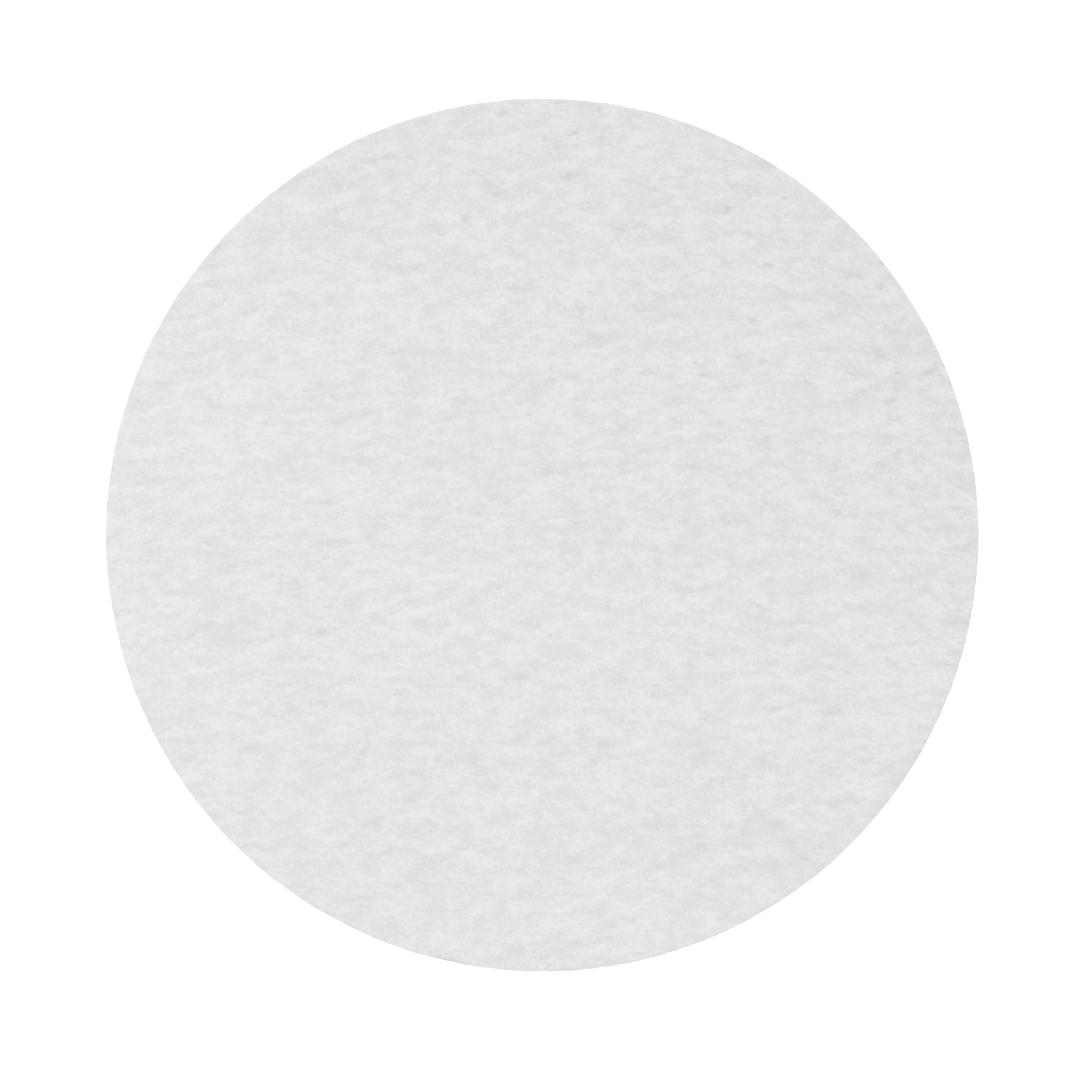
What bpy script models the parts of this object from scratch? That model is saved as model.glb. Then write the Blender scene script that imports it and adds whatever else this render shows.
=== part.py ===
"""Self-adhesive felt polishing disc for a lapidary flat lap, face up on its release liner.

The disc is a stack of five layers that one round die cut together. From the bench upwards they are
the release liner, the lap-side adhesive, the carrier film, the felt-side adhesive and the felt.
The origin is the centre of the liner's underside, and +Z points out of the polishing face.
All lengths are in metres.
"""

import bmesh
import bpy

# Driving dimensions
DISC_DIAMETER = 0.2032
FELT_THICKNESS = 0.0032
ADHESIVE_THICKNESS = 0.0001
FILM_THICKNESS = 0.00005
LINER_THICKNESS = 0.00015

# The thin layers are bonded face to face, and this gap only keeps their solids apart.
BOND_GAP = 0.00002

# The felt's top edge is slightly rounded. Every other edge is a clean die cut.
FACE_EDGE_RADIUS = 0.0004
FACE_EDGE_SEGMENTS = 4
RIM_SEGMENTS = 192
SMOOTH_ANGLE = 0.6


def clear_scene():
    """Remove every object that the file opened with."""
    for thing in list(bpy.data.objects):
        bpy.data.objects.remove(thing, do_unlink=True)


def material(name, colour, roughness, alpha=1.0):
    """A non-metallic Principled material."""
    made = bpy.data.materials.new(name)
    made.use_nodes = True
    made.diffuse_color = (*colour, alpha)
    shader = made.node_tree.nodes["Principled BSDF"]
    shader.inputs["Base Color"].default_value = (*colour, 1.0)
    shader.inputs["Roughness"].default_value = roughness
    shader.inputs["Metallic"].default_value = 0.0
    shader.inputs["Alpha"].default_value = alpha
    return made


def felt_material():
    """Bleached pressed wool felt: neutral white and fully matt."""
    return material("white_felt", (0.78, 0.78, 0.78), 1.0)


def adhesive_material():
    """Clear acrylic adhesive with a slight straw tint."""
    return material("clear_adhesive", (0.86, 0.83, 0.72), 0.25, alpha=0.6)


def film_material():
    """Clear polyester film."""
    return material("polyester_film", (0.88, 0.90, 0.92), 0.12, alpha=0.5)


def liner_material():
    """Bleached kraft paper with a silicone coat."""
    return material("liner_paper", (0.80, 0.76, 0.66), 0.45)


def cut_disc(thickness):
    """A flat disc cut by the die, with its underside at z = 0."""
    shape = bmesh.new()
    bmesh.ops.create_circle(shape, cap_ends=True, segments=RIM_SEGMENTS, radius=DISC_DIAMETER / 2)
    raised = bmesh.ops.extrude_face_region(shape, geom=list(shape.faces))
    top_corners = [item for item in raised["geom"] if isinstance(item, bmesh.types.BMVert)]
    bmesh.ops.translate(shape, verts=top_corners, vec=(0.0, 0.0, thickness))
    bmesh.ops.recalc_face_normals(shape, faces=list(shape.faces))
    return shape


def round_top_edge(shape, thickness):
    """Round the edge between the top face and the side wall."""
    rim = [
        edge
        for edge in shape.edges
        if all(abs(corner.co.z - thickness) < BOND_GAP for corner in edge.verts)
    ]
    bmesh.ops.bevel(
        shape,
        geom=rim,
        offset=FACE_EDGE_RADIUS,
        segments=FACE_EDGE_SEGMENTS,
        profile=0.5,
        affect="EDGES",
    )


def place_layer(name, shape, look, height, parent=None):
    """Turn a finished shape into a named object whose underside is at the given world height."""
    mesh = bpy.data.meshes.new(name)
    shape.to_mesh(mesh)
    shape.free()
    mesh.materials.append(look)
    mesh.shade_smooth()
    mesh.set_sharp_from_angle(angle=SMOOTH_ANGLE)
    layer = bpy.data.objects.new(name, mesh)
    bpy.context.scene.collection.objects.link(layer)
    layer.parent = parent
    layer.location.z = height - (parent.location.z if parent else 0.0)
    return layer


def plain_layer(name, thickness, look, height, parent=None):
    """A layer with sharp edges. Returns the height at which the next layer starts."""
    place_layer(name, cut_disc(thickness), look, height, parent)
    return height + thickness + BOND_GAP


def felt_layer(height, parent):
    """The pressed felt, with the polishing face up."""
    felt = cut_disc(FELT_THICKNESS)
    round_top_edge(felt, FELT_THICKNESS)
    place_layer("felt_pad", felt, felt_material(), height, parent)


def pad_carrier(height):
    """An empty on the lift axis, at the face where the liner lets go of the pad."""
    empty = bpy.data.objects.new("pad_lift", None)
    empty.empty_display_size = DISC_DIAMETER / 8
    empty.location.z = height
    bpy.context.scene.collection.objects.link(empty)
    return empty


def build():
    """Stack the layers from the bench upwards."""
    clear_scene()
    adhesive = adhesive_material()
    height = plain_layer("release_liner", LINER_THICKNESS, liner_material(), 0.0)
    pad = pad_carrier(height)
    height = plain_layer("lap_side_adhesive", ADHESIVE_THICKNESS, adhesive, height, pad)
    height = plain_layer("carrier_film", FILM_THICKNESS, film_material(), height, pad)
    height = plain_layer("felt_side_adhesive", ADHESIVE_THICKNESS, adhesive, height, pad)
    felt_layer(height, pad)


build()
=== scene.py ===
"""Looks of the felt polishing disc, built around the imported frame.

The disc lies face up on its release liner. Every length is in metres. The felt is a pressed body
whose face and die-cut wall have real relief, with separate fibre pieces lying on both. Under it are
two coats of adhesive on a carrier film, and the paper liner.
"""

import math

import bpy
import numpy as np
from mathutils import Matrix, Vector


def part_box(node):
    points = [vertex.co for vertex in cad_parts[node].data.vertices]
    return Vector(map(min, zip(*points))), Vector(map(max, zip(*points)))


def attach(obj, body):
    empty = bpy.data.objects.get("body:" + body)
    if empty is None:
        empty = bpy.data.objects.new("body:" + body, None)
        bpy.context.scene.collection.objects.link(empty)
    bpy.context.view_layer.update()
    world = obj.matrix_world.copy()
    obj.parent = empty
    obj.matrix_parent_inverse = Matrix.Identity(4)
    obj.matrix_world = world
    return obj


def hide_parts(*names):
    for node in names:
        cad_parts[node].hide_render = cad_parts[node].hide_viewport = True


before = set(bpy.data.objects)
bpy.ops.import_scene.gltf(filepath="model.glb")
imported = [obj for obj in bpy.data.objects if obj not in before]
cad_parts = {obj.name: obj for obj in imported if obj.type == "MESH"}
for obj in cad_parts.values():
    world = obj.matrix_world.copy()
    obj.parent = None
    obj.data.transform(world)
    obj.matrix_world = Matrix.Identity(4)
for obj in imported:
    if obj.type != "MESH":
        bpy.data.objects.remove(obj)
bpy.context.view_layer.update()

MM = 0.001

# The disc, from the frame
FELT_LOW, FELT_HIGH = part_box("felt_pad")
RADIUS = (FELT_HIGH[0] - FELT_LOW[0]) / 2
FELT_BASE = FELT_LOW[2]
FELT_TOP = FELT_HIGH[2]
DIAMETER = 2 * RADIUS

# The felt body's mesh
FACE_CELLS = 276
EDGE_ROUNDING = 0.16 * MM
EDGE_RINGS = 3
WALL_RINGS = 16

# The run of the nap: it leans down to the right, more so at the right, and wanders slowly.
NAP_LEAN = 0.05
NAP_BEND = 0.5
NAP_WANDER = 0.8 * MM
NAP_WANDER_SIZE = 60 * MM

# The face's relief: size along the nap, size across it, height, and how it slants up off the nap
FACE_RELIEF = (
    (38 * MM, 14 * MM, 0.058 * MM, 0.16),
    (17.5 * MM, 6.6 * MM, 0.060 * MM, 0.20),
    (7.4 * MM, 3.6 * MM, 0.108 * MM, 0.22),
    (4.1 * MM, 2.2 * MM, 0.110 * MM, 0.08),
    (2.4 * MM, 1.6 * MM, 0.030 * MM, 0.0),
)

# This share of the relief's height is taken off its bumps and added to its hollows.
PIT_SHARE = 0.35

# The material reads relief from minus to plus this span as 0 to 1.
RELIEF_SPAN = 0.30 * MM

# The cut wall's relief: size around the rim, size up the wall, and depth
WALL_RELIEF = (
    (9 * MM, 2.4 * MM, 0.05 * MM),
    (2.6 * MM, 0.55 * MM, 0.07 * MM),
)

# Fibres on the face, on the wall, and standing off the rim
FACE_FIBRES = 16000
FACE_FIBRE_PIECES = 4
WALL_FIBRES = 4200
FUZZ_HAIRS = 3200
FIBRE_SIDES = 3
FIBRE_FLATNESS = 0.3
FIBRE_POINTS = 7
FUZZ_POINTS = 6
FIBRE_TIP = 0.25

# Three lengths are the shortest, the usual and the longest, and two sizes are the least and the most.
# Angles are in radians. A fibre's rise and sink are shares of its thickness.
FACE_FIBRE_LENGTHS = (1.4 * MM, 3.0 * MM, 6.5 * MM)
FACE_FIBRE_LENGTH_SPREAD = 0.35
FACE_FIBRE_WIDTHS = (0.05 * MM, 0.11 * MM)
FACE_FIBRE_OFF_NAP = 0.8
FACE_FIBRE_CURL = 0.7
FACE_FIBRE_MARGIN = 1.2 * MM
FACE_FIBRE_ARCH = (0.2, 1.1)
FACE_FIBRE_RISE = 0.35
FACE_FIBRE_SINK = 0.2

WALL_FIBRE_LENGTHS = (0.8 * MM, 3.6 * MM)
WALL_FIBRE_WIDTHS = (0.04 * MM, 0.10 * MM)
WALL_FIBRE_TILT = 0.16
WALL_FIBRE_BOW = 0.18
WALL_FIBRE_ARCH = (0.2, 1.2)
WALL_FIBRE_SINK = 0.3
WALL_FIBRE_LOWEST_MIDDLE = 0.1 * MM
WALL_FIBRE_LOWEST_POINT = 0.06 * MM

# The rim's hairs. Their heights follow a beta distribution with this bias to the top of the wall, and
# their lean up is a mean and a spread. FUZZ_STAND shortens their reach away from the wall.
FUZZ_LENGTHS = (0.2 * MM, 0.55 * MM, 1.6 * MM)
FUZZ_LENGTH_SPREAD = 0.45
FUZZ_WIDTHS = (0.022 * MM, 0.045 * MM)
FUZZ_HEIGHT_BIAS = (1.6, 1.1)
FUZZ_HEIGHT_SHARE = 0.97
FUZZ_LEAN_UP = (0.1, 0.45)
FUZZ_LEAN_AROUND = 1.0
FUZZ_CURL = 1.0
FUZZ_STAND = 0.6
FUZZ_ROOT = 0.05 * MM
FUZZ_BACK = 0.02 * MM

# The noise's lattice, how far each layer of relief is shifted on it, and the first seeds
NOISE_TILE = 256
LAYER_SHIFT = (31.7, 17.3)
WALL_LAYER_SHIFT = 5.1
NAP_SHIFT = (9.3, 4.1)
NAP_SEED = 3
FACE_SEED = 20
WALL_SEED = 40
FACE_FIBRE_SEED = 100
WALL_FIBRE_SEED = 210
FUZZ_SEED = 310
BACKING_SEED = 51


def fade(t):
    """Perlin's smooth step from 0 to 1."""
    return t * t * t * (t * (t * 6 - 15) + 10)


def smooth_noise(u, v, seed, wrap_u=NOISE_TILE):
    """Gradient noise of about -1 to 1 on a unit lattice. It repeats every wrap_u cells along u."""
    turns = np.random.default_rng(seed).random((NOISE_TILE, NOISE_TILE)) * 2 * np.pi
    cell_u = np.floor(u).astype(int)
    cell_v = np.floor(v).astype(int)
    part_u = u - cell_u
    part_v = v - cell_v
    total = np.zeros_like(part_u)
    for step_u in (0, 1):
        for step_v in (0, 1):
            turn = turns[(cell_u + step_u) % wrap_u, (cell_v + step_v) % NOISE_TILE]
            reach = np.cos(turn) * (part_u - step_u) + np.sin(turn) * (part_v - step_v)
            weight = fade(1 - np.abs(part_u - step_u)) * fade(1 - np.abs(part_v - step_v))
            total += reach * weight
    return total * 2.0


def nap_coordinates(x, y):
    """Distances along and across the nap."""
    shift_x, shift_y = NAP_SHIFT
    wander = smooth_noise(x / NAP_WANDER_SIZE + shift_x, y / NAP_WANDER_SIZE + shift_y, NAP_SEED)
    return x, y + NAP_LEAN * x + NAP_BEND * x * x + NAP_WANDER * wander


def nap_angle(x, y):
    """The direction that the nap runs in, in radians from +X."""
    step = MM
    across = nap_coordinates(x + step, y)[1] - nap_coordinates(x - step, y)[1]
    return np.arctan2(-across, 2 * step)


def face_relief(x, y):
    """Height of the felt's surface over its nominal face."""
    along, across = nap_coordinates(x, y)
    height = np.zeros_like(x)
    for k, (length, width, tall, slant) in enumerate(FACE_RELIEF):
        level = across - slant * along
        shift_u, shift_v = LAYER_SHIFT
        bump = smooth_noise(along / length + shift_u * k, level / width + shift_v * k, FACE_SEED + k)
        height += tall * (bump - PIT_SHARE * bump * bump)
    return height


def wall_relief(angle, z):
    """How far the cut wall stands out from the nominal radius."""
    out = np.zeros_like(angle)
    for k, (length, width, deep) in enumerate(WALL_RELIEF):
        cells = round(2 * math.pi * RADIUS / length)
        around = angle / (2 * math.pi) * cells
        out += deep * smooth_noise(around, z / width + WALL_LAYER_SHIFT * k, WALL_SEED + k, cells)
    return out


def make_piece(name, points, faces, material, body, node):
    """A smooth mesh object that rides on a body and stands for a CAD node."""
    mesh = bpy.data.meshes.new(name)
    mesh.from_pydata(points, [], faces)
    mesh.materials.append(material)
    mesh.shade_smooth()
    mesh.update()
    piece = bpy.data.objects.new(name, mesh)
    bpy.context.scene.collection.objects.link(piece)
    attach(piece, body)
    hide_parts(node)
    return piece


def mark_value(piece, name, values):
    """Keep a number for each point, for the material."""
    layer = piece.data.attributes.new(name, "FLOAT", "POINT")
    layer.data.foreach_set("value", values.astype(np.float32))


def mark_nap(piece, points):
    """Keep each point's coordinates along and across the nap, for the material."""
    along, across = nap_coordinates(points[:, 0], points[:, 1])
    layer = piece.data.attributes.new("nap", "FLOAT_VECTOR", "POINT")
    layer.data.foreach_set("vector", np.column_stack([along, across, points[:, 2]]).ravel())


def disc_grid(cells, radius):
    """A square grid mapped onto a disc: x and y arrays, quads, and the rim's indices in order."""
    line = np.linspace(-1.0, 1.0, cells + 1)
    a, b = np.meshgrid(line, line, indexing="ij")
    wide = np.abs(a) >= np.abs(b)
    reach = np.where(wide, a, b)
    safe_a = np.where(a == 0, 1, a)
    safe_b = np.where(b == 0, 1, b)
    turn = np.where(wide, math.pi / 4 * b / safe_a, math.pi / 2 - math.pi / 4 * a / safe_b)
    turn = np.where(reach == 0, 0, turn)
    x = (radius * reach * np.cos(turn)).ravel()
    y = (radius * reach * np.sin(turn)).ravel()
    number = np.arange((cells + 1) ** 2).reshape(cells + 1, cells + 1)
    quads = np.stack(
        [number[:-1, :-1], number[1:, :-1], number[1:, 1:], number[:-1, 1:]], axis=-1
    ).reshape(-1, 4)
    rim = np.concatenate([number[:-1, 0], number[-1, :-1], number[:0:-1, -1], number[0, :0:-1]])
    return x, y, quads, rim


def close_disc(x, y, z, quads, rim, rings):
    """Points and faces of a closed disc: a top grid, rings of (x, y, z) down the wall, a flat base."""
    count = len(rim)
    points = np.column_stack([x, y, z])
    faces = quads.tolist()
    above = rim
    for ring in rings:
        below = np.arange(len(points), len(points) + count)
        points = np.vstack([points, np.column_stack(ring)])
        beyond_above = np.roll(above, -1)
        beyond_below = np.roll(below, -1)
        faces += np.column_stack([above, below, beyond_below, beyond_above]).tolist()
        above = below
    centre = len(points)
    points = np.vstack([points, [0.0, 0.0, points[above[0], 2]]])
    faces += [(a, centre, b) for a, b in zip(above.tolist(), np.roll(above, -1).tolist())]
    return points, faces


def round_axis(out, angle, z):
    """The x, y and z of places at a distance and an angle round the disc's axis."""
    return out * np.cos(angle), out * np.sin(angle), z


def felt_rings(angle, edge_top):
    """Rings down the felt's rounded edge and its cut wall, from the height of the face's edge."""
    rings = []
    for k in range(1, EDGE_RINGS + 1):
        bend = math.pi / 2 * k / EDGE_RINGS
        z = edge_top - EDGE_ROUNDING * (1 - math.cos(bend))
        out = RADIUS - EDGE_ROUNDING * (1 - math.sin(bend)) + math.sin(bend) * wall_relief(angle, z)
        rings.append(round_axis(out, angle, z))
    shoulder = edge_top - EDGE_ROUNDING
    for k in range(1, WALL_RINGS + 1):
        z = shoulder + (FELT_BASE - shoulder) * k / WALL_RINGS
        rings.append(round_axis(RADIUS + wall_relief(angle, z), angle, z))
    return rings


def mark_felt(body, points, heights, rim, rings):
    """Keep the felt's relief, its cut part and its nap on its points, for the material, which paints
    shade into the low relief and onto the cut part.
    """
    wall = [np.hypot(ring[0], ring[1]) - RADIUS for ring in rings[EDGE_RINGS:]]
    edge = [heights[rim]] * EDGE_RINGS
    relief = np.concatenate([heights, *edge, *wall, [0.0]])
    mark_value(body, "relief", np.clip(0.5 + relief / (2 * RELIEF_SPAN), 0.0, 1.0))
    first_cut = len(heights) + len(rim) * (EDGE_RINGS - 1)
    mark_value(body, "cut", (np.arange(len(points)) >= first_cut).astype(float))
    mark_nap(body, points)


def felt_body(material):
    """The pressed felt: relief on its face, a rounded cut edge and a wall of pressed layers."""
    x, y, quads, rim = disc_grid(FACE_CELLS, RADIUS - EDGE_ROUNDING)
    heights = face_relief(x, y)
    top = FELT_TOP + heights
    rings = felt_rings(np.arctan2(y[rim], x[rim]), top[rim])
    points, faces = close_disc(x, y, top, quads, rim, rings)
    body = make_piece("felt_body", points, faces, material, "pad", "felt_pad")
    mark_felt(body, points, heights, rim, rings)
    return body


def strands(name, paths, outward, widths, material):
    """Thin tapered fibres along paths of shape (fibres, steps, 3), as closed tubes."""
    count, steps, _ = paths.shape
    ahead = np.gradient(paths, axis=1)
    ahead /= np.linalg.norm(ahead, axis=2, keepdims=True)
    side = np.cross(ahead, outward)
    side /= np.linalg.norm(side, axis=2, keepdims=True)
    up = np.cross(side, ahead)
    along = np.linspace(0.0, 1.0, steps)
    taper = FIBRE_TIP + (1 - FIBRE_TIP) * np.sin(np.pi * along) ** 0.5
    half = widths[:, None] / 2 * taper[None, :]
    rings = []
    for k in range(FIBRE_SIDES):
        turn = math.pi / 2 - 2 * math.pi * k / FIBRE_SIDES
        rings.append(
            paths + half[..., None] * (math.cos(turn) * side + FIBRE_FLATNESS * math.sin(turn) * up)
        )
    points = np.stack(rings, axis=2).reshape(-1, 3)
    number = np.arange(count * steps * FIBRE_SIDES).reshape(count, steps, FIBRE_SIDES)
    following = np.roll(number, -1, axis=2)
    walls = np.stack(
        [number[:, :-1], following[:, :-1], following[:, 1:], number[:, 1:]], axis=-1
    ).reshape(-1, 4)
    faces = walls.tolist()
    faces += number[:, 0, ::-1].tolist()
    faces += number[:, -1].tolist()
    piece = make_piece(name, points, faces, material, "pad", "felt_pad")
    piece.data.shade_flat()
    return piece


def face_fibres(index, material):
    """Curved fibres that lie on the face, mostly along the nap, with their ends pressed in."""
    random = np.random.default_rng(FACE_FIBRE_SEED + index)
    count = FACE_FIBRES // FACE_FIBRE_PIECES
    steps = FIBRE_POINTS
    shortest, usual, longest = FACE_FIBRE_LENGTHS
    reach = (RADIUS - FACE_FIBRE_MARGIN) * np.sqrt(random.random(count))
    turn = random.random(count) * 2 * math.pi
    x = reach * np.cos(turn)
    y = reach * np.sin(turn)
    heading = nap_angle(x, y) + random.normal(0, FACE_FIBRE_OFF_NAP, count)
    length = random.lognormal(math.log(usual), FACE_FIBRE_LENGTH_SPREAD, count)
    length = np.clip(length, shortest, longest)
    curl = random.normal(0, FACE_FIBRE_CURL, count)
    width = random.uniform(*FACE_FIBRE_WIDTHS, count)
    along = np.linspace(-0.5, 0.5, steps)
    bearing = heading[:, None] + curl[:, None] * along[None, :]
    stride = length[:, None] / (steps - 1)
    px = np.cumsum(stride * np.cos(bearing), axis=1)
    py = np.cumsum(stride * np.sin(bearing), axis=1)
    px += (x - px[:, steps // 2])[:, None]
    py += (y - py[:, steps // 2])[:, None]
    off = np.hypot(px, py)
    shrink = np.minimum(1.0, (RADIUS - EDGE_ROUNDING) / off)
    px *= shrink
    py *= shrink
    arch = np.sin(np.pi * (along + 0.5))[None, :] * random.uniform(*FACE_FIBRE_ARCH, count)[:, None]
    lift = FIBRE_FLATNESS * width[:, None] * (FACE_FIBRE_RISE * arch - FACE_FIBRE_SINK)
    pz = FELT_TOP + face_relief(px, py) + lift
    paths = np.stack([px, py, pz], axis=2)
    outward = np.broadcast_to(np.array([0.0, 0.0, 1.0]), paths.shape)
    return strands(f"felt_face_fibres_{index + 1}", paths, outward, width, material)


def wall_fibres(material):
    """Fibres that lie along the cut wall, nearly level, as the pressed layers do."""
    random = np.random.default_rng(WALL_FIBRE_SEED)
    angle = random.random(WALL_FIBRES) * 2 * math.pi
    lowest = FELT_BASE + WALL_FIBRE_LOWEST_MIDDLE
    height = random.uniform(lowest, FELT_TOP - EDGE_ROUNDING, WALL_FIBRES)
    length = random.uniform(*WALL_FIBRE_LENGTHS, WALL_FIBRES)
    tilt = random.normal(0, WALL_FIBRE_TILT, WALL_FIBRES)
    width = random.uniform(*WALL_FIBRE_WIDTHS, WALL_FIBRES)
    along = np.linspace(-0.5, 0.5, FIBRE_POINTS)[None, :]
    turn = angle[:, None] + along * length[:, None] / RADIUS
    bow = random.normal(0, WALL_FIBRE_BOW, WALL_FIBRES)[:, None] * (along**2 - 0.25) * length[:, None]
    z = np.clip(
        height[:, None] + along * (length * np.tan(tilt))[:, None] + bow,
        FELT_BASE + WALL_FIBRE_LOWEST_POINT,
        FELT_TOP - EDGE_ROUNDING / 2,
    )
    arch = np.cos(np.pi * along) * random.uniform(*WALL_FIBRE_ARCH, WALL_FIBRES)[:, None]
    lift = FIBRE_FLATNESS * width[:, None] * (arch - WALL_FIBRE_SINK)
    out = RADIUS + wall_relief(turn, z) + lift
    paths = np.stack(round_axis(out, turn, z), axis=2)
    outward = np.stack([np.cos(turn), np.sin(turn), np.zeros_like(turn)], axis=2)
    return strands("felt_wall_fibres", paths, outward, width, material)


def rim_fuzz(material):
    """Short loose hairs that stand off the cut edge."""
    random = np.random.default_rng(FUZZ_SEED)
    shortest, usual, longest = FUZZ_LENGTHS
    angle = random.random(FUZZ_HAIRS) * 2 * math.pi
    share = random.beta(*FUZZ_HEIGHT_BIAS, FUZZ_HAIRS)
    height = FELT_BASE + (FELT_TOP - FELT_BASE) * share * FUZZ_HEIGHT_SHARE
    length = random.lognormal(math.log(usual), FUZZ_LENGTH_SPREAD, FUZZ_HAIRS)
    length = np.clip(length, shortest, longest)
    width = random.uniform(*FUZZ_WIDTHS, FUZZ_HAIRS)
    lean_around = random.normal(0, FUZZ_LEAN_AROUND, FUZZ_HAIRS)
    lean_up = random.normal(*FUZZ_LEAN_UP, FUZZ_HAIRS)
    curl = random.normal(0, FUZZ_CURL, FUZZ_HAIRS)
    along = np.linspace(0.0, 1.0, FUZZ_POINTS)[None, :]
    sweep = lean_around[:, None] + curl[:, None] * along
    stride = length[:, None] / (FUZZ_POINTS - 1)
    ahead = np.cumsum(stride * np.cos(sweep) * FUZZ_STAND, axis=1)
    aside = np.cumsum(stride * np.sin(sweep), axis=1)
    z = np.maximum(height[:, None] + (length * np.sin(lean_up))[:, None] * along, FELT_BASE)
    start = RADIUS + wall_relief(angle, height) - FUZZ_ROOT
    out = start[:, None] + np.maximum(ahead, -FUZZ_BACK)
    turn = angle[:, None] + aside / RADIUS
    paths = np.stack(round_axis(out, turn, z), axis=2)
    outward = np.broadcast_to(np.array([0.0, 0.0, 1.0]), paths.shape)
    return strands("felt_rim_fuzz", paths, outward, width, material)


# Materials


class Nodes:
    """A new material with a Principled shader, and short ways to add and join its nodes."""

    def __init__(self, name, **constants):
        self.material = bpy.data.materials.new(name)
        self.material.use_nodes = True
        self.tree = self.material.node_tree
        self.shader = self.tree.nodes["Principled BSDF"]
        self.where = None
        for socket, value in constants.items():
            self.shader.inputs[socket.replace("_", " ")].default_value = value

    def add(self, kind, settings=(), **inputs):
        """A node of a kind, with its settings, and its inputs set to values or joined to sockets."""
        node = self.tree.nodes.new(kind)
        for key, value in dict(settings).items():
            setattr(node, key, value)
        for key, value in inputs.items():
            socket = node.inputs[key.replace("_", " ")]
            if isinstance(value, bpy.types.NodeSocket):
                self.tree.links.new(value, socket)
            else:
                socket.default_value = value
        return node

    def join(self, output, socket):
        """Join an output to one of the shader's inputs."""
        self.tree.links.new(output, self.shader.inputs[socket])

    def attribute(self, name, output):
        """A value kept on the mesh's points."""
        return self.add("ShaderNodeAttribute", {"attribute_name": name}).outputs[output]

    def place(self, scale, turn=0.0):
        """Coordinates of the surface, scaled and turned: those in self.where, or the object's own."""
        where = self.where or self.add("ShaderNodeTexCoord").outputs["Object"]
        rotation = (0.0, 0.0, turn)
        return self.add(
            "ShaderNodeMapping", Vector=where, Scale=scale, Rotation=rotation
        ).outputs["Vector"]

    def along(self, direction):
        """Distance along a direction, in metres, by the coordinates in self.where."""
        node = self.add("ShaderNodeVectorMath", {"operation": "DOT_PRODUCT"})
        self.tree.links.new(self.where, node.inputs[0])
        node.inputs[1].default_value = direction
        return node.outputs["Value"]

    def noise(self, scale, detail, rough, warp=0.0, turn=0.0):
        """Noise with features of 1 / scale along each axis."""
        return self.add(
            "ShaderNodeTexNoise",
            Vector=self.place(scale, turn),
            Scale=1.0,
            Detail=detail,
            Roughness=rough,
            Distortion=warp,
        ).outputs["Fac"]

    def mix(self, low, high, amount):
        """Amount from 0 to 1, spread between two values."""
        return self.add(
            "ShaderNodeMapRange", Value=amount, To_Min=low, To_Max=high
        ).outputs["Result"]

    def step(self, low, high, amount):
        """A smooth step from 0 at low to 1 at high."""
        return self.add(
            "ShaderNodeMapRange",
            {"interpolation_type": "SMOOTHSTEP"},
            Value=amount,
            From_Min=low,
            From_Max=high,
        ).outputs["Result"]

    def maths(self, operation, *values):
        """A Math node's result."""
        node = self.add("ShaderNodeMath", {"operation": operation})
        for socket, value in zip(node.inputs, values):
            if isinstance(value, bpy.types.NodeSocket):
                self.tree.links.new(value, socket)
            else:
                socket.default_value = value
        return node.outputs[0]

    def total(self, *terms):
        """The sum of amount times source over the terms."""
        result = 0.0
        for amount, source in terms:
            result = self.maths("MULTIPLY_ADD", source, amount, result)
        return result

    def spots(self, spacing, size):
        """Small round spots of different sizes, one near each point of a jittered grid."""
        grid = self.add(
            "ShaderNodeTexVoronoi",
            {"voronoi_dimensions": "2D"},
            Vector=self.place(per_metre(spacing, spacing, spacing)),
            Scale=1.0,
        )
        chance = self.add("ShaderNodeSeparateColor", Color=grid.outputs["Color"]).outputs["Red"]
        inside = self.maths("SUBTRACT", self.maths("MULTIPLY", chance, size), grid.outputs["Distance"])
        return self.step(0.0, size / 4, inside)

    def tint(self, amount, low, high):
        """Amount from 0 to 1, spread between two colours."""
        blend = self.add(
            "ShaderNodeMix", {"data_type": "RGBA"}, Factor=amount, A=(*low, 1.0), B=(*high, 1.0)
        )
        return blend.outputs["Result"]

    def grey(self, value):
        """A neutral colour of that value."""
        return self.add(
            "ShaderNodeCombineColor", Red=value, Green=value, Blue=value
        ).outputs["Color"]

    def bump(self, height, distance):
        """Bump of a height from 0 to 1 over a distance."""
        return self.add(
            "ShaderNodeBump", Height=height, Distance=distance, Strength=1.0
        ).outputs["Normal"]


def per_metre(*sizes):
    """A mapping scale whose features have these sizes."""
    return tuple(1.0 / size for size in sizes)


# The felt's tone, the painted shade on the darker cut wall, the side toward which the felt is painted
# darker as painted shade where the light falls off, by the nap's axes, and how far its clumps are turned
# off the nap
FELT_GREY = 0.654
CUT_SHADE = 0.12
SHADED_SIDE = (0.6, 0.8, 0.0)
SIDE_SHADE_FROM = -0.02
SIDE_SHADE_TO = 0.12
CLUMP_TURN = -0.06

# Where the noises start and stop to count as a bright clump, and as a pit painted with shade
MOTTLE_STEP = (0.765, 1.01)
PIT_SHADE_STEP = (0.435, 0.27)

# Each material's darkest and lightest colour
FIBRE_GREYS = (0.74, 0.85)
# The cut wall's fibres are painted darker, with the same painted shade as the cut wall
SHADED_CUT_FIBRE_GREYS = (0.64, 0.80)
GLUE_TINTS = ((0.66, 0.63, 0.54), (0.86, 0.84, 0.77))
FILM_GREYS = (0.76, 0.82)
PAPER_TINTS = ((0.71, 0.65, 0.54), (0.86, 0.82, 0.73))


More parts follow.
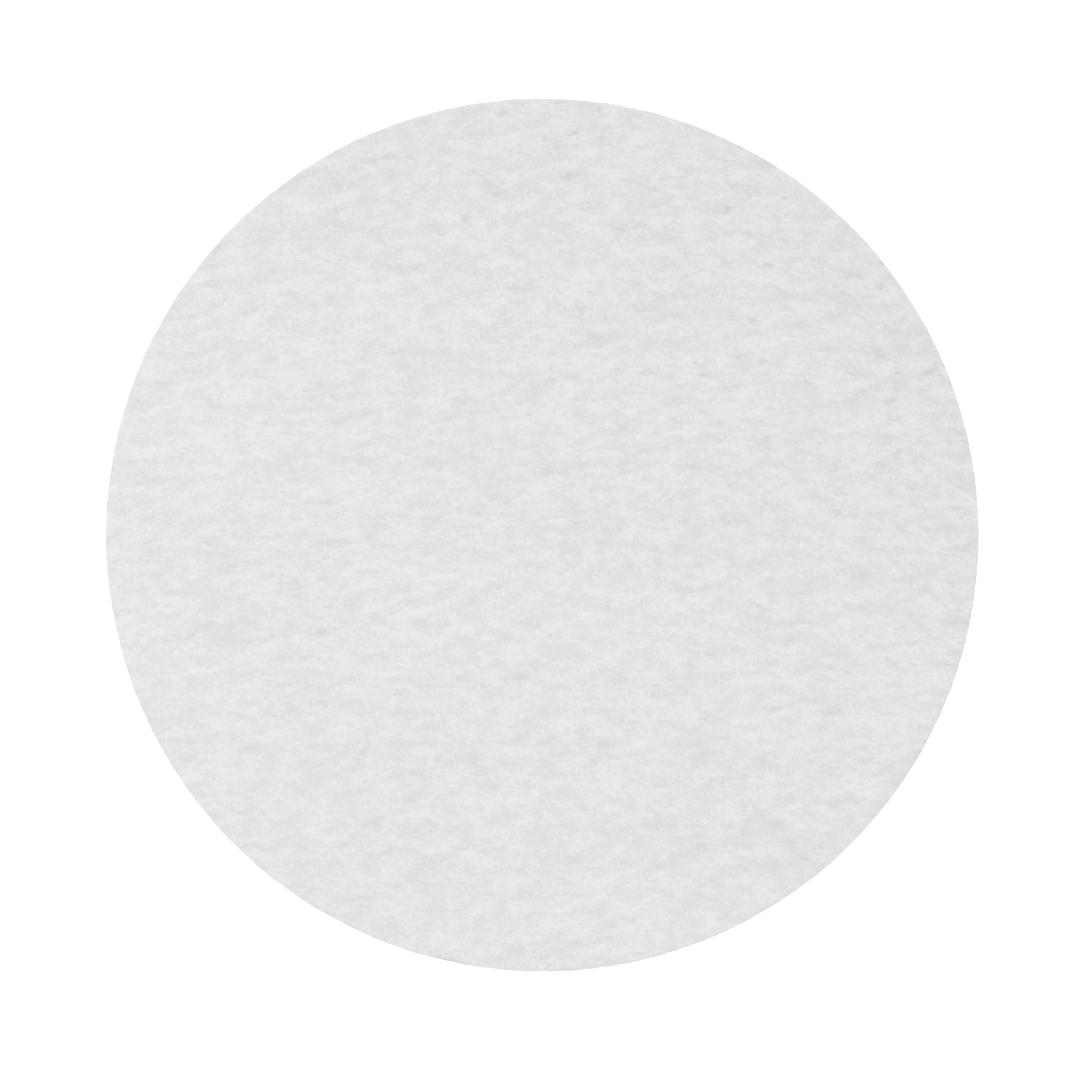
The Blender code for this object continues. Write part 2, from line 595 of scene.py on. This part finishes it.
def felt_material():
    """Bleached pressed wool: neutral and matt, with painted shade in its hollows and low relief, on its
    cut wall and towards the upper right, and a fine woolly grain.
    """
    felt = Nodes("white_felt_surface", Roughness=1.0, Sheen_Weight=0.1, Sheen_Roughness=0.6)
    felt.shader.inputs["Specular IOR Level"].default_value = 0.15
    felt.where = felt.attribute("nap", "Vector")
    relief = felt.attribute("relief", "Fac")
    clouds = felt.noise(per_metre(90 * MM, 40 * MM, 40 * MM), 1.0, 0.5)
    clumps = felt.noise(per_metre(6.0 * MM, 3.2 * MM, 2.6 * MM), 2.0, 0.82, 0.15, CLUMP_TURN)
    grain = felt.noise(per_metre(0.8 * MM, 0.85 * MM, 0.7 * MM), 1.0, 0.6)
    mottle = felt.step(*MOTTLE_STEP, felt.total((1.0, clumps), (0.75, grain)))
    # Painted shade: the felt darkens toward the upper right, away from the side light, and its painted
    # pit shade grows there
    side_shade = felt.mix(0.4, 1.0, felt.step(SIDE_SHADE_FROM, SIDE_SHADE_TO, felt.along(SHADED_SIDE)))
    # Painted shade: dark elongated pits painted into the felt's colour, standing for the shade that
    # falls in its hollows
    hollows = felt.noise(per_metre(5.0 * MM, 2.4 * MM, 2.2 * MM), 2.5, 0.7)
    painted_pit_shade = felt.maths("MULTIPLY", felt.step(*PIT_SHADE_STEP, hollows), side_shade)
    tone = felt.total(
        (1.0, FELT_GREY),
        # painted shade: the felt is painted darker where its relief is low and lighter on its bumps
        (0.06, relief),
        (0.03, clouds),
        (0.043, mottle),
        (0.055, clumps),
        (0.037, grain),
        (-0.026, side_shade),
        (-0.09, painted_pit_shade),
        # painted shade: the cut wall is painted darker than the face
        (-CUT_SHADE, felt.attribute("cut", "Fac")),
    )
    felt.join(felt.grey(tone), "Base Color")
    threads = felt.noise(per_metre(0.8 * MM, 0.55 * MM, 0.4 * MM), 4.0, 0.6, 0.6)
    felt.join(felt.bump(threads, 0.06 * MM), "Normal")
    return felt.material


def fibre_material(name, greys):
    """Single wool fibres: a little brighter than the felt around them, with a soft sheen."""
    fibre = Nodes(name, Roughness=0.8, Sheen_Weight=0.15, Sheen_Roughness=0.5)
    fibre.shader.inputs["Specular IOR Level"].default_value = 0.2
    tone = fibre.noise(per_metre(2.4 * MM, 1.2 * MM, 1.0 * MM), 3.0, 0.6)
    fibre.join(fibre.grey(fibre.mix(*greys, tone)), "Base Color")
    return fibre.material


def adhesive_material():
    """Clear acrylic adhesive over white felt: glossy and faintly straw, with bubbles in it."""
    glue = Nodes("clear_adhesive_surface", Roughness=0.24, Coat_Weight=0.3)
    blotches = glue.noise(per_metre(11 * MM, 6 * MM, 6 * MM), 3.0, 0.6, 0.4)
    threads = glue.noise(per_metre(2.6 * MM, 0.7 * MM, 0.7 * MM), 3.0, 0.6, 0.8)
    bubbles = glue.spots(2.8 * MM, 0.20)
    shade = glue.total((0.55, blotches), (0.45, threads), (0.30, bubbles))
    glue.join(glue.tint(shade, *GLUE_TINTS), "Base Color")
    glue.join(glue.bump(glue.total((0.4, threads), (1.0, bubbles)), 0.02 * MM), "Normal")
    return glue.material


def film_material():
    """Clear polyester film over white felt: smooth and glossy, with fine drawn streaks."""
    film = Nodes("polyester_film_surface", Roughness=0.12)
    streaks = film.noise(per_metre(30 * MM, 0.6 * MM, 1.0 * MM), 3.0, 0.5)
    film.join(film.grey(film.mix(*FILM_GREYS, streaks)), "Base Color")
    film.join(film.bump(streaks, 0.004 * MM), "Normal")
    return film.material


def liner_material():
    """Bleached kraft paper with a satin silicone coat, a cloudy sheet, short fibres and a few flecks."""
    paper = Nodes("liner_paper_surface", Coat_Weight=0.15, Coat_Roughness=0.4)
    clouds = paper.noise(per_metre(4.5 * MM, 3.4 * MM, 3 * MM), 3.0, 0.6, 0.2)
    fibres = paper.noise(per_metre(1.5 * MM, 0.5 * MM, 0.5 * MM), 3.0, 0.6, 0.8)
    flecks = paper.spots(7.0 * MM, 0.045)
    shade = paper.total((0.7, clouds), (0.4, fibres), (-0.5, flecks))
    paper.join(paper.tint(shade, *PAPER_TINTS), "Base Color")
    paper.join(paper.mix(0.38, 0.55, fibres), "Roughness")
    paper.join(paper.bump(fibres, 0.012 * MM), "Normal")
    return paper.material


# The backing

BACKING_CELLS = 60
BACKING_WALL_RINGS = 2
BACKING_SHARP_ANGLE = math.radians(35)
EDGE_WAVES = 120

# How far each layer's edge wanders, and how far it is set back. Only the adhesive is set back, so that
# it doesn't ooze past the felt.
ADHESIVE_EDGE = (0.06 * MM, 0.08 * MM)
FILM_EDGE = (0.01 * MM, 0.0)
LINER_EDGE = (0.02 * MM, 0.0)


def backing_layer(name, node, body, material, edge, seed):
    """A thin layer in its CAD layer's place, whose cut edge wanders slightly."""
    low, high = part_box(node)
    wobble, inset = edge
    x, y, quads, rim = disc_grid(BACKING_CELLS, RADIUS - inset - wobble)
    angle = np.arctan2(y[rim], x[rim])
    around = angle / (2 * math.pi) * EDGE_WAVES
    wave = smooth_noise(around, np.full_like(around, 0.5), seed, EDGE_WAVES)
    out = RADIUS - inset + wobble * wave
    rings = []
    for k in range(BACKING_WALL_RINGS + 1):
        z = high[2] + (low[2] - high[2]) * k / BACKING_WALL_RINGS
        rings.append(round_axis(out, angle, np.full_like(out, z)))
    top = np.full_like(x, high[2])
    points, faces = close_disc(x, y, top, quads, rim, rings)
    piece = make_piece(name, points, faces, material, body, node)
    piece.data.set_sharp_from_angle(angle=BACKING_SHARP_ANGLE)
    return piece


def adhesive_coat(side, glue, seed):
    """The adhesive coat on one side of the film."""
    node = f"{side}_side_adhesive"
    return backing_layer(f"{node}_coat", node, "pad", glue, ADHESIVE_EDGE, seed)


def carrier_film(seed):
    """The film between the adhesive coats."""
    film = film_material()
    return backing_layer(
        "carrier_film_sheet", "carrier_film", "pad", film, FILM_EDGE, seed
    )


def release_liner(seed):
    """The paper liner under the lap-side adhesive."""
    paper = liner_material()
    return backing_layer(
        "release_liner_sheet", "release_liner", "liner", paper, LINER_EDGE, seed
    )


def backing():
    """The adhesive coats, the film between them and the paper liner, which it returns."""
    glue = adhesive_material()
    adhesive_coat("felt", glue, BACKING_SEED)
    carrier_film(BACKING_SEED + 1)
    adhesive_coat("lap", glue, BACKING_SEED + 2)
    return release_liner(BACKING_SEED + 3)


# Stage, light and camera

# The width that the camera sees, and how far the camera stands off the disc's axis
FRAME_WIDTH = 1.237 * DIAMETER
CAMERA_OFFSET = (-0.00266 * DIAMETER, -0.00584 * DIAMETER)
LENS = 120.0
SENSOR = 36.0
FLOOR_HALF = 4.0
FLOOR_WHITE = (0.85, 0.85, 0.85, 1.0)
PURE_WHITE = (1.0, 1.0, 1.0, 1.0)

# The world's strength near the horizon and overhead, and the heights between which it changes
WALL_LIGHT = 1.0
CEILING_LIGHT = 0.737
WALL_TOP = 0.10
CEILING_EDGE = 0.45

KEY_ENERGY = 1.0
KEY_ANGLE = math.radians(26)
KEY_PLACE = (0.2, 2.0, 2.2)
SIDE_ENERGY = 0.25
SIDE_SIZE = 0.4
SIDE_PLACE = (-0.45, -0.04, 0.30)


def floor():
    """A plain white floor that glows a little, as a light table does."""
    mesh = bpy.data.meshes.new("floor")
    half = FLOOR_HALF
    corners = [(-half, -half, 0), (half, -half, 0), (half, half, 0), (-half, half, 0)]
    mesh.from_pydata(corners, [], [(0, 1, 2, 3)])
    white = Nodes("floor_white", Roughness=0.9, Emission_Strength=0.5)
    white.shader.inputs["Base Color"].default_value = FLOOR_WHITE
    white.shader.inputs["Emission Color"].default_value = PURE_WHITE
    mesh.materials.append(white.material)
    ground = bpy.data.objects.new("floor", mesh)
    bpy.context.scene.collection.objects.link(ground)


def soft_world():
    """Even white light from all round, brighter low down, as between white studio walls."""
    world = bpy.data.worlds.new("soft_world")
    world.use_nodes = True
    tree = world.node_tree
    tree.nodes["Background"].inputs["Color"].default_value = PURE_WHITE
    where = tree.nodes.new("ShaderNodeTexCoord")
    parts = tree.nodes.new("ShaderNodeSeparateXYZ")
    tree.links.new(where.outputs["Generated"], parts.inputs["Vector"])
    spread = tree.nodes.new("ShaderNodeMapRange")
    spread.inputs["From Min"].default_value = WALL_TOP
    spread.inputs["From Max"].default_value = CEILING_EDGE
    spread.inputs["To Min"].default_value = WALL_LIGHT
    spread.inputs["To Max"].default_value = CEILING_LIGHT
    tree.links.new(parts.outputs["Z"], spread.inputs["Value"])
    tree.links.new(spread.outputs["Result"], tree.nodes["Background"].inputs["Strength"])
    bpy.context.scene.world = world


def aim(light, place):
    """Put a light at a place and turn it to the disc."""
    light.location = place
    light.rotation_euler = (-Vector(place)).to_track_quat("-Z", "Y").to_euler()
    bpy.context.scene.collection.objects.link(light)


def key_light():
    """A large, far softbox beyond the top of the picture, which models the felt's relief."""
    data = bpy.data.lights.new("key", "SUN")
    data.angle = KEY_ANGLE
    data.energy = KEY_ENERGY
    aim(bpy.data.objects.new("key", data), KEY_PLACE)


def side_light():
    """A weak softbox near the lower left, which makes that side a little brighter."""
    data = bpy.data.lights.new("side", "AREA")
    data.shape = "DISK"
    data.size = SIDE_SIZE
    data.energy = SIDE_ENERGY
    aim(bpy.data.objects.new("side", data), SIDE_PLACE)


def camera():
    """Straight down on the face, with +Y at the top of the picture."""
    data = bpy.data.cameras.new("camera")
    data.sensor_width = SENSOR
    data.lens = LENS
    eye = bpy.data.objects.new("camera", data)
    distance = FRAME_WIDTH * LENS / SENSOR
    eye.location = (*CAMERA_OFFSET, FELT_TOP + distance)
    bpy.context.scene.collection.objects.link(eye)
    bpy.context.scene.camera = eye
    bpy.context.scene.view_settings.view_transform = "Standard"


def build():
    camera()
    floor()
    soft_world()
    key_light()
    side_light()
    liner = backing()
    fibre = fibre_material("white_felt_fibre", FIBRE_GREYS)
    shaded_cut_fibre = fibre_material("shaded_cut_felt_fibre", SHADED_CUT_FIBRE_GREYS)
    body = felt_body(felt_material())
    loose = [face_fibres(k, fibre) for k in range(FACE_FIBRE_PIECES)]
    loose += [wall_fibres(shaded_cut_fibre), rim_fuzz(fibre)]


build()
